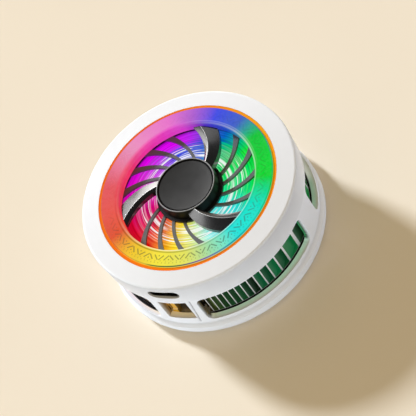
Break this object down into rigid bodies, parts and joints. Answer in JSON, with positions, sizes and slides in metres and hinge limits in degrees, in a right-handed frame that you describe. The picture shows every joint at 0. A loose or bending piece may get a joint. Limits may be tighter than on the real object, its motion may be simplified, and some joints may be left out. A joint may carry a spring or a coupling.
{
  "type": "phone cooling fan",
  "caption": "Round magnetic phone cooler: white windowed case, glowing ring round a black turbine fan, finned heat sink over a thermoelectric plate, power socket in the side.",
  "frame": {"origin": "on the phone side, under the fan's axis", "axes": "+Z along the fan's axis away from the phone, power socket towards -Y"},
  "size_m": [0.0658, 0.0658, 0.028],
  "materials": {
    "white_case": "satin white",
    "white_cover": "satin white",
    "orange_trim": "gloss",
    "light_ring": "translucent, lit in rainbow colours",
    "board": "solder mask",
    "lamp": "clear over yellow",
    "black_rotor": "gloss black",
    "grey_vanes": "satin grey",
    "hub_cap": "satin dark grey",
    "steel": "plain",
    "magnet": "nickel plate",
    "fan_plate": "turned, reflects the lamps' colours",
    "brass": "plain",
    "bronze": "sintered",
    "white_plastic": "plain",
    "lamination": "plain",
    "copper": "enamelled copper wire",
    "heat_sink": "extruded",
    "ceramic": "alumina ceramic",
    "foam": "foam",
    "lead": "insulated wire",
    "cooling_plate": "satin anodised",
    "face_pad": "soft silicone",
    "socket_steel": "bright",
    "black_plastic": "plain",
    "gold": "gold plate"
  },
  "bodies": {
    "housing": {"base_shell": "white_case", "top_cover": "white_cover", "trim_ring": "orange_trim", "light_ring": "light_ring", "lamp_board": "board", "lamps": "lamp", "fan_plate": "fan_plate", "bearing_tube": "brass", "bearing_bush": "bronze", "thrust_pad": "white_plastic", "stator_core": "lamination", "stator_coils": "copper", "motor_board": "board", "heat_sink": "heat_sink", "hot_plate": "ceramic", "cell_legs": "lamination", "cold_side_plate": "ceramic", "cell_gasket": "foam", "cell_leads": "lead", "cooling_plate": "cooling_plate", "magnets": "magnet", "magnet_shield": "steel", "face_pad": "face_pad", "control_board": "board", "socket_shell": "socket_steel", "socket_tongue": "black_plastic", "socket_contacts": "gold", "control_chip": "black_plastic", "choke": "lamination", "case_screws": "steel"},
    "rotor": {"impeller": "black_rotor", "vane_wheel": "grey_vanes", "hub_cap": "hub_cap", "rotor_yoke": "steel", "rotor_magnet": "magnet", "shaft": "steel"}
  },
  "joints": [
    {"name": "fan_spin", "type": "hinge", "parent": "housing", "child": "rotor", "pos_m": [0, 0, 0.0235], "axis": [0, 0, 1], "continuous": true}
  ]
}
